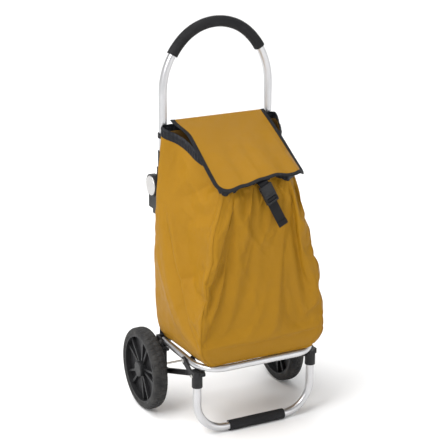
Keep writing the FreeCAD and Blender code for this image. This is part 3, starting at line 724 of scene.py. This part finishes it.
def crease_relief(across, height, creases):
    """Summed ridges and valleys at places given across and up a panel."""
    relief = np.zeros(across.shape)
    for path, high, left, right in creases:
        path = np.array(path, float)
        steps = np.linalg.norm(np.diff(path, axis=0), axis=1)
        whole, run = steps.sum(), 0
        nearest = np.full(across.shape, np.inf)
        side = np.zeros(across.shape)
        share = np.zeros(across.shape)
        for first, last, step in zip(path, path[1:], steps):
            ahead = (last - first) / step
            dx, dz = across - first[0], height - first[1]
            along = np.clip(dx * ahead[0] + dz * ahead[1], 0, step)
            away = np.hypot(dx - along * ahead[0], dz - along * ahead[1])
            closer = away < nearest
            nearest = np.where(closer, away, nearest)
            side = np.where(closer, dx * ahead[1] - dz * ahead[0], side)
            share = np.where(closer, (run + along) / whole, share)
            run += step
        wide = np.where(side > 0, right, left)
        fade = smooth_step(share, -0.05, 0.22) * smooth_step(1 - share, -0.05, 0.22)
        relief += high * fade * np.exp(-np.sqrt(nearest ** 2 + 2.2) / wide * 1.3)
    return relief


def creased(points):
    """Press the folds and creases of a hanging, much used bag into its panels."""
    out = outward_normals(points, 2)
    x, y, z = (points[..., k] / MM for k in range(3))
    front = smooth_step(-out[..., 1], 0.55, 0.85)
    left = smooth_step(-out[..., 0], 0.55, 0.85)
    right = smooth_step(out[..., 0], 0.55, 0.85)
    relief = crease_relief(x, z, FRONT_CREASES) * front
    relief += crease_relief(y, z, SIDE_CREASES) * left
    relief += crease_relief(y, z, [(path, high * 0.8, right_wide, left_wide) for path, high,
                                   left_wide, right_wide in SIDE_CREASES[1:]]) * right
    crumple = np.array([[sum(size * (0.5 - abs(noise.noise(Vector(p) * scale)) * 2)
                             for scale, size in ((11, 1.6), (23, 0.9), (48, 0.45)))
                         for p in row] for row in points])
    edge = smooth_step(z, 190, 260) * smooth_step(np.arange(HEIGHT_ROWS - 1, -1, -1), 0,
                                                  6)[:, None]
    return points + out * ((relief + crumple) * edge * MM)[..., None]


def behind_webbing(points):
    """Keep the front panel just behind the buckle and the webbing that hangs over it."""
    turn = np.array(BUCKLE.inverted())
    local = points @ turn[:3, :3].T + turn[:3, 3]
    x, out, up = local[..., 0], local[..., 1], local[..., 2]
    near = (smooth_step(30 * MM - np.abs(x), 0, 14 * MM)
            * smooth_step(up, -110 * MM, -86 * MM) * smooth_step(40 * MM - up, 0, 15 * MM)
            * (np.abs(out) < 40 * MM))
    push = np.maximum(0.6 * MM - out, 0) * near
    return points + push[..., None] * turn[1, :3]


def bag_walls():
    """The walls as they hang, and as they were before the cloth settled."""
    start = bag_grid()
    seeded = pleats(start)
    cloth = mesh_object("bag_cloth", seeded.reshape(-1, 3),
                        grid_faces(HEIGHT_ROWS, COLUMNS, closed=True), [])
    moved = settled(cloth, cut_shape(start).reshape(-1, 3), pinned(start).ravel())
    shift = moved.reshape(start.shape) - start
    far = np.linalg.norm(shift, axis=-1, keepdims=True)
    shift = shift * np.where(far > CLOTH_REACH, CLOTH_REACH / np.maximum(far, 1e-9), 1)
    return behind_webbing(creased(start + shift)), start


def bag_uvs(rest):
    """Distance round the bag and height up the cut cloth, in metres."""
    return grid_uvs(run_along(rest[HEIGHT_ROWS // 3]), rest[..., 2])


def make_bag():
    """The bag's walls and floor in one cloth, lined inside."""
    walls, start = bag_walls()
    rest = cut_shape(start)
    centre = np.array([0, -0.125])
    rings = []
    for share, drop in FLOOR_STEPS:
        ring = walls[0].copy()
        ring[:, :2] = centre + (ring[:, :2] - centre) * share
        ring[:, 2] = BAG_FOOT - drop * MM
        rings.append(ring)
    points = np.concatenate([np.array(rings), walls])
    uvs = np.concatenate([np.array(rings)[..., :2].reshape(-1, 2), bag_uvs(rest)])
    faces = grid_faces(len(points), COLUMNS, closed=True)
    half = COLUMNS // 2
    faces += [(i, COLUMNS - 1 - i, COLUMNS - 2 - i, i + 1) for i in range(half - 1)]
    body = mesh_object("bag_body", points.reshape(-1, 3), faces,
                       [LOOKS["mustard_polyester"], LINING], uvs)
    shell = body.modifiers.new("wall", "SOLIDIFY")
    shell.thickness = 1.0 * MM
    shell.offset = -1
    shell.material_offset = 1
    smooth = body.modifiers.new("smooth", "SUBSURF")
    smooth.levels = smooth.render_levels = 1
    attach(body, "back_frame", "mustard_polyester", "bag")
    squashed(body)
    return walls


def squashed(piece):
    """Apply a piece's modifiers to its mesh and give it a mesh of its own."""
    if piece.modifiers:
        graph = bpy.context.evaluated_depsgraph_get()
        piece.data = bpy.data.meshes.new_from_object(piece.evaluated_get(graph),
                                                     preserve_all_data_layers=True,
                                                     depsgraph=graph)
        piece.modifiers.clear()
    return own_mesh(piece)


def thickened(piece, thickness, offset=-1):
    """Give a sheet its thickness, inwards or, with offset 0, both ways."""
    shell = piece.modifiers.new("thickness", "SOLIDIFY")
    shell.thickness = thickness
    shell.offset = offset
    return shell


def spaced(path, gap):
    """Points along a path at an even gap."""
    run = run_along(path)
    return sampled(path, run, np.linspace(0, run[-1], max(2, int(run[-1] / gap) + 1)))


def stitches(name, path, normals, body, look, long=3.0, gap=1.4, radius=0.28):
    """A row of sewing stitches that lie on a surface along a path."""
    run = run_along(path)
    pitch = (long + gap) * MM
    points, faces = [], []
    for index in range(int(run[-1] / pitch)):
        places = index * pitch + np.array([0, 0.18, 0.5, 0.82, 1]) * long * MM
        line = sampled(path, run, places)
        up = unit(sampled(normals, run, places))
        ahead = unit(np.gradient(line, axis=0))
        aside = unit(np.cross(ahead, up))
        first = len(points)
        for k, (girth, lift) in enumerate(((0.35, -0.5), (1, 0.25), (1, 0.45), (1, 0.25),
                                           (0.35, -0.5))):
            for turn in np.arange(6) * math.pi / 3:
                points.append(line[k] + (up[k] * (lift + girth * math.sin(turn))
                                         + aside[k] * girth * math.cos(turn)) * radius * MM)
        faces += grid_faces(5, 6, closed=True, start=first)
        faces += [tuple(range(first, first + 6)), tuple(range(first + 29, first + 23, -1))]
    piece = mesh_object(name, points, faces, [look])
    attach(piece, body, "black_webbing")
    return piece


# ---------------------------------------------------------------- flap

FLAP_HALF = 113 * MM
FLAP_LONG = 240 * MM
FLAP_CORNER = 40 * MM
FLAP_ROWS = 100
FLAP_COLUMNS = 80
FLAP_EDGE = 0.6 * MM
HINGE_ROLL = 6.5 * MM
BINDING_WIDE = 9 * MM
BINDING_STEP = 1.3 * MM


def flap_surface(x, s):
    """Points on the flap from the distance across and the distance down from its hinge."""
    x, s = np.asarray(x, float), np.asarray(s, float)
    flare = (1 - smooth_step(s, 0, 62 * MM)) * smooth_step(FLAP_LINE.x - x, 50 * MM, FLAP_HALF)
    x = x - 17 * MM * flare
    y = FLAP_LINE.y - s * math.cos(FLAP_SLOPE)
    grain = np.array([noise.noise(Vector((a * 16, b * 16, 3))) + 0.4
                      * noise.noise(Vector((a * 45, b * 45, 8)))
                      for a, b in zip(x.ravel(), s.ravel())]).reshape(x.shape)
    loose = smooth_step(s, 0.02, 0.12) * smooth_step(FLAP_HALF * 1.1 - np.abs(x - FLAP_LINE.x),
                                                     0, 0.06)
    z = FLAP_LINE.z - s * math.sin(FLAP_SLOPE) + flap_lift(x, y) + grain * loose * 1.5 * MM
    turn = np.maximum(-s, 0) / HINGE_ROLL - FLAP_SLOPE
    rolled_y = FLAP_LINE.y + HINGE_ROLL * (math.sin(FLAP_SLOPE) + np.sin(turn))
    rolled_z = FLAP_LINE.z + HINGE_ROLL * (np.cos(turn) - math.cos(FLAP_SLOPE))
    return np.stack([x, np.where(s < 0, rolled_y, y), np.where(s < 0, rolled_z, z)], -1)


def flap_normal(x, s):
    """Upward directions of the flap's surface."""
    step = 0.5 * MM
    across = flap_surface(x + step, s) - flap_surface(x - step, s)
    down = flap_surface(x, s + step) - flap_surface(x, s - step)
    return unit(np.cross(down, across))


def flap_outline(inset):
    """The flap's free edges, drawn in by an inset, as distances across and down."""
    half, corner = FLAP_HALF - inset, FLAP_CORNER - inset
    middle, low = FLAP_LINE.x, FLAP_LONG - inset
    path = [(middle - half, -3 * MM)]
    for side, first in ((-1, math.pi), (1, math.pi / 2)):
        for t in np.linspace(0, math.pi / 2, 13):
            angle = first - t
            path.append((middle + side * (half - corner) + corner * math.cos(angle),
                         low - corner + corner * math.sin(angle)))
    path.append((middle + half, -3 * MM))
    return spaced(np.array(path), BINDING_STEP)


def make_flap():
    """The flap's lined cloth, the tape that binds its free edges and the tape's stitches."""
    s = np.linspace(-5 * MM, FLAP_LONG - FLAP_EDGE, FLAP_ROWS)[:, None] * np.ones(FLAP_COLUMNS)
    depth = np.clip(s - (FLAP_LONG - FLAP_CORNER), 0, FLAP_CORNER)
    half = FLAP_HALF - FLAP_EDGE - FLAP_CORNER + np.sqrt(FLAP_CORNER ** 2 - depth ** 2)
    x = FLAP_LINE.x + half * np.linspace(-1, 1, FLAP_COLUMNS)
    flap = mesh_object("flap_cloth", flap_surface(x, s).reshape(-1, 3),
                       [face[::-1] for face in grid_faces(FLAP_ROWS, FLAP_COLUMNS)],
                       [LOOKS["mustard_polyester"], LINING],
                       np.stack([x, s], -1).reshape(-1, 2))
    shell = thickened(flap, 0.8 * MM, 0)
    shell.material_offset = 1
    attach(flap, "bag_flap", "mustard_polyester", "flap")
    squashed(flap)

    path = flap_outline(0)
    ahead = unit(np.gradient(path, axis=0))
    inward = np.stack([ahead[:, 1], -ahead[:, 0]], 1)
    wide = BINDING_WIDE / MM
    profile = [(-1.2, 0), (-0.8, 0.9), (0.3, 1.3), (wide * 0.35, 1.35), (wide * 0.65, 1.2),
               (wide - 2.2, 0.85), (wide - 0.5, 1.15), (wide, 0.7), (wide, -0.7),
               (wide - 0.5, -1.15), (wide - 2.2, -0.85), (wide * 0.5, -1.3), (0.3, -1.3),
               (-0.8, -0.9)]
    rings = []
    pucker = 1 + 0.07 * np.sin(np.arange(len(path)) * 1.3 / 4.4 * 2 * math.pi)
    for across, lift in profile:
        where = path + inward * across * MM
        normal = flap_normal(where[:, 0], where[:, 1])
        rings.append(flap_surface(where[:, 0], where[:, 1])
                     + normal * (lift * MM * pucker)[:, None])
    points = np.array(rings)
    run = np.arange(len(path)) * BINDING_STEP
    uvs = grid_uvs(run, np.arange(len(profile))[:, None] * 1.6 * MM)
    faces = grid_faces(len(profile), len(path))
    last = (len(profile) - 1) * len(path)
    faces += [(last + i, last + i + 1, i + 1, i) for i in range(len(path) - 1)]
    half = len(profile) // 2
    for end, flip in ((0, False), (len(path) - 1, True)):
        for k in range(half - 1):
            quad = [row * len(path) + end for row in (k, k + 1, len(profile) - 2 - k,
                                                      len(profile) - 1 - k)]
            faces.append(tuple(quad[::-1] if flip else quad))
    tape = mesh_object("flap_binding_tape", points.reshape(-1, 3), faces,
                       [LOOKS["black_webbing"]], uvs)
    attach(tape, "bag_flap", "black_webbing", "flap_binding")
    squashed(tape)

    seam = flap_outline(BINDING_WIDE - 2.2 * MM)
    normal = flap_normal(seam[:, 0], seam[:, 1])
    line = flap_surface(seam[:, 0], seam[:, 1]) + normal * 0.95 * MM
    squashed(stitches("flap_stitches", line, normal, "bag_flap", BLACK_THREAD))
    return flap


# ---------------------------------------------------------------- mouth band

BAND_FINER = 5
BAND_ROWS = 13
GATHER_PITCH = 0.0094


def make_mouth_band(walls):
    """Thin black cloth gathered round the mouth under the flap."""
    count = COLUMNS * BAND_FINER
    rim = walls[-1]
    places = np.arange(count) / BAND_FINER
    around = sampled(np.vstack([rim, rim[:1]]), np.arange(COLUMNS + 1), places)
    outward = level_out(np.roll(around, -BAND_FINER, 0) - np.roll(around, BAND_FINER, 0))
    run = run_along(around)
    gather = np.array([0.7 * math.sin(2 * math.pi * r / GATHER_PITCH
                                      + 2.2 * noise.noise(Vector((r * 22, 0, 1))))
                       + 0.9 * noise.noise(Vector((r * 120, 2, 0))) for r in run])
    crush = np.array([noise.noise(Vector((r * 60, 0, 5))) for r in run])
    rings = []
    shares = np.linspace(0, 1, BAND_ROWS)
    for share in shares:
        swell = math.sin(math.pi * min(1, share * 1.05)) ** 0.7
        high = (-5 + share * (BAND_HIGH / MM + 2.5)) + crush * 1.6 * share
        tuck = -3.5 * smooth_step(share, 0.75, 1.0)
        twist = np.array([noise.noise(Vector((r * 75, share * 3.1, 9))) for r in run])
        reach = 1.2 + gather * 0.9 * swell + twist * 1.5 * swell + tuck
        ring = around + outward * (reach * MM)[:, None]
        ring[:, 2] += high * MM
        rings.append(ring)
    points = np.array(rings)
    uvs = grid_uvs(run, shares[:, None] * BAND_HIGH)
    band = mesh_object("mouth_band", points.reshape(-1, 3),
                       grid_faces(len(shares), count, closed=True), [NYLON], uvs)
    thickened(band, 0.7 * MM)
    attach(band, "back_frame", "black_webbing", "bag_binding")
    squashed(band)
    return band


# ---------------------------------------------------------------- webbing and buckle

# Where each webbing runs in the buckle's own frame, out and up, in millimetres.
CLOSURE_PATH = [(-1.0, -3), (-1.0, -62), (-1.2, -79.5), (-1.6, -81.4), (-2.6, -81.6),
                (-3.2, -80), (-3.0, -70), (-2.9, -69.6)]
LOOP_PATH = [(-2.6, -18), (-2.7, -13.8), (-3.4, -9.2), (-5, -8.4), (-8, -8.2), (-10.6, -8.6),
             (-11.3, -10.4), (-10.8, -13), (-9, -14.6), (-6, -15)]
FLAP_PATH = [(-6.5, 16.5), (-6.5, 24), (-6.2, 27)]
# The box of stitches that closes the webbing's end: across, out and up, in millimetres.
STITCH_BOX = [(-10.5, -3.85, -72.5), (10.5, -3.85, -72.5), (10.5, -4.0, -78.5),
              (-10.5, -4.0, -78.5), (-10.5, -3.85, -72.5)]
WEBBING_STEP = 0.9 * MM


def strip(name, path, wide, thick, body, *nodes):
    """Webbing along a path of (out, up) places in the buckle's own frame, in millimetres."""
    line = spaced(np.array(path, float) * MM, WEBBING_STEP)
    ahead = unit(np.gradient(line, axis=0))
    normal = np.stack([ahead[:, 1], -ahead[:, 0]], 1)
    half = wide / 2
    profile = [(-half, 0), (-half + 0.25, thick * 0.42), (-half + 1.1, thick * 0.5),
               (-half * 0.5, thick * 0.5), (0, thick * 0.5), (half * 0.5, thick * 0.5),
               (half - 1.1, thick * 0.5), (half - 0.25, thick * 0.42), (half, 0)]
    profile += [(x, -y) for x, y in reversed(profile[1:-1])]
    points, uvs = [], []
    for index, (place, out) in enumerate(zip(line, normal)):
        for x, y in profile:
            local = Vector((x * MM, place[0] + out[0] * y * MM, place[1] + out[1] * y * MM))
            points.append(BUCKLE @ local)
            uvs.append((index * WEBBING_STEP, x * MM))
    size = len(profile)
    faces = grid_faces(len(line), size, closed=True)
    for first, flip in ((0, True), ((len(line) - 1) * size, False)):
        for k in range(size // 2):
            quad = (first + k, first + k + 1, first + (size - k - 1) % size,
                    first + (size - k) % size)
            quad = tuple(dict.fromkeys(quad))
            faces.append(quad[::-1] if flip else quad)
    piece = mesh_object(name, points, faces, [LOOKS["black_webbing"]], uvs)
    attach(piece, body, "black_webbing", *nodes)
    squashed(piece)


def make_buckle():
    """The webbing on the bag, in the buckle and on the flap, with the stitches at its end."""
    strip("closure_webbing", CLOSURE_PATH, 24.8, 1.4, "back_frame", "closure_strap")
    strip("webbing_loop", LOOP_PATH, 24.2, 1.2, "buckle_half")
    middle = 16 * MM
    edge = BUCKLE.inverted() @ Vector(flap_surface(middle, FLAP_LONG - 14 * MM)
                                      - 2.4 * MM * flap_normal(middle, FLAP_LONG - 14 * MM))
    lip = BUCKLE.inverted() @ Vector(flap_surface(middle, FLAP_LONG + 1 * MM)
                                     - 2.2 * MM * flap_normal(middle, FLAP_LONG))
    strip("flap_webbing", FLAP_PATH + [(lip.y / MM, lip.z / MM), (edge.y / MM, edge.z / MM)],
          24.2, 1.3, "bag_flap", "flap_tab")
    path = spaced(np.array([BUCKLE @ (Vector(place) * MM) for place in STITCH_BOX]), MM)
    out = np.array([BUCKLE.to_3x3() @ Vector((0, -1, 0))] * len(path))
    squashed(stitches("webbing_stitches", path, out, "back_frame", BLACK_THREAD, 1.8, 0.8, 0.22))


# ---------------------------------------------------------------- tyres

TYRE_RADIUS = 100 * MM
RIM_RADIUS = 84 * MM
TYRE_HALF = 18 * MM
TYRE_ACROSS = 186 * MM
TREAD_BLOCKS = 44
BLOCK_STEPS = 10
TREAD_DEEP = 1.7 * MM
GROOVE_DEEP = 1.5 * MM
AXLE = Vector((0, 10 * MM, 100 * MM))


def make_tyre(word, side):
    """Rubber tyre with staggered tread blocks, a grooved crown and moulded sidewall lines."""
    count = TREAD_BLOCKS * BLOCK_STEPS
    profile = []
    for share in np.linspace(0, 1, 57):
        turn = math.pi * (1.09 - 1.18 * share)
        across = math.copysign(abs(math.cos(turn)) ** 0.72, math.cos(turn))
        crown = max(0, math.sin(turn)) ** 0.55
        low = RIM_RADIUS - 3 * MM if math.sin(turn) < 0 else RIM_RADIUS
        profile.append((-across * TYRE_HALF * (1 if math.sin(turn) >= 0 else 0.86),
                        low + (TYRE_RADIUS - low) * crown))
    rings = []
    for x, radius in profile:
        half = 1 if x > 0 else 0
        phase = (np.arange(count) + half * BLOCK_STEPS // 2) % BLOCK_STEPS
        groove = np.where(phase < 2, 1.0,
                          np.where((phase == 2) | (phase == BLOCK_STEPS - 1), 0.55, 0))
        tread = smooth_step(radius, 0.955 * TYRE_RADIUS, 0.975 * TYRE_RADIUS)
        depth = groove * tread * TREAD_DEEP
        middle = max(0, 1 - abs(abs(x) - 4.2 * MM) / (1.3 * MM)) + max(0, 1 - abs(x) / (1.0 * MM))
        depth = np.maximum(depth, min(1, middle) * GROOVE_DEEP * tread)
        wall = 0.5 * MM * max(0, 1 - abs(radius - 0.925 * TYRE_RADIUS) / (1.2 * MM))
        reach = radius - depth - wall
        angle = np.arange(count) * 2 * math.pi / count
        rings.append(np.stack([np.full(count, side * TYRE_ACROSS + x),
                               AXLE.y + reach * np.sin(angle), AXLE.z - reach * np.cos(angle)], 1))
    points = np.array(rings)
    faces = grid_faces(len(profile), count, closed=True)
    last = (len(profile) - 1) * count
    faces += [(last + i, last + (i + 1) % count, (i + 1) % count, i) for i in range(count)]
    tyre = mesh_object("tyre_" + word + "_treaded", points.reshape(-1, 3), faces,
                       [LOOKS["black_tyre"]])
    tyre.data.set_sharp_from_angle(angle=math.radians(38))
    attach(tyre, word + "_wheel", "black_tyre", "tyre_" + word)


def make_foam(node, width):
    """Foam sleeve with rounded ends and a faintly uneven skin."""
    piece = softened(node, width)
    skin = bpy.data.textures.new(node + "_skin", "CLOUDS")
    skin.noise_scale = 9 * MM
    uneven = piece.modifiers.new("uneven", "DISPLACE")
    uneven.texture = skin
    uneven.strength = 0.35 * MM
    uneven.mid_level = 0.5


def make_seams(walls):
    """Piping and stitches down the two front corner seams, and piping round the bag's foot."""
    rows = np.arange(2, HEIGHT_ROWS - 1)
    for name, column in (("left", FRONT_LEFT), ("right", FRONT_RIGHT)):
        line = walls[rows, column]
        out = level_out(walls[rows, column + 4] - walls[rows, column - 4])
        piping("corner_seam_" + name, line + out * 0.5 * MM, 1.0 * MM)
        row = walls[rows, column + (4 if name == "left" else -4)]
        places = spaced(np.hstack([row + out * 0.35 * MM, out * MM]), 1.5 * MM)
        squashed(stitches("corner_stitches_" + name, places[:, :3], unit(places[:, 3:]),
                          "back_frame", THREAD, 2.6, 1.3, 0.2))
    ring = np.concatenate([walls[1], walls[1][:1]])
    piping("foot_seam", ring + level_out(np.gradient(ring, axis=0)) * 0.4 * MM, 1.1 * MM)


def piping(name, line, radius):
    """A thin rolled seam along a line of the cloth."""
    step = 3 * MM
    line = spaced(line, step)
    ahead = unit(np.gradient(line, axis=0))
    side = unit(np.cross(ahead, np.where(np.abs(ahead[:, 2:]) > 0.7, [1.0, 0, 0], [0, 0, 1.0])))
    up = np.cross(side, ahead)
    points, uvs = [], []
    for index in range(len(line)):
        girth = radius * (1 + 0.12 * noise.noise(Vector((index * 0.4, 0, 0))))
        for turn in np.arange(8) * math.pi / 4:
            points.append(line[index] + girth * (side[index] * math.cos(turn)
                                                 + up[index] * math.sin(turn)))
            uvs.append((index * step, radius * turn))
    faces = grid_faces(len(line), 8, closed=True)
    for first, flip in ((0, True), ((len(line) - 1) * 8, False)):
        for quad in ((0, 1, 2, 3), (0, 3, 4, 7), (7, 4, 5, 6)):
            quad = tuple(first + k for k in quad)
            faces.append(quad[::-1] if flip else quad)
    piece = mesh_object(name, points, faces, [LOOKS["mustard_polyester"]], uvs)
    attach(piece, "back_frame", "mustard_polyester")
    squashed(piece)


def edge_softened(node, width):
    """Round a CAD node's sharp edges a little, as moulds and presses leave them."""
    item = NODES[node]
    item.modifiers.new("weld", "WELD").merge_threshold = WELD_GAP
    bevel = item.modifiers.new("rounding", "BEVEL")
    bevel.width = width
    bevel.segments = BEVEL_STEPS
    bevel.limit_method = "ANGLE"
    bevel.angle_limit = math.radians(30)
    bevel.harden_normals = True


make_camera()
make_studio()
make_floor()

for item in frame["record"]["subparts"]:
    for slot in NODES[item["node"]].material_slots:
        slot.material = LOOKS[item["material_slot"]]

bag_cloth = make_bag()
make_seams(bag_cloth)
make_mouth_band(bag_cloth)
make_flap()
make_buckle()
for word, side in (("left", -1), ("right", 1)):
    make_tyre(word, side)
for node in ("buckle_socket", "buckle_plug"):
    squashed(softened(node, 0.6 * MM))
make_foam("grip_foam", 2.5 * MM)
make_foam("stand_foam", 4 * MM)
for kind, width in (("stand_clip", 0.8), ("rear_bracket", 0.8), ("hinge_lower", 0.6),
                    ("hinge_upper", 0.6), ("link", 0.5)):
    for word in ("left", "right"):
        edge_softened(kind + "_" + word, width * MM)
for node in ("crossbar_collars", "bag_hangers"):
    edge_softened(node, 0.6 * MM)
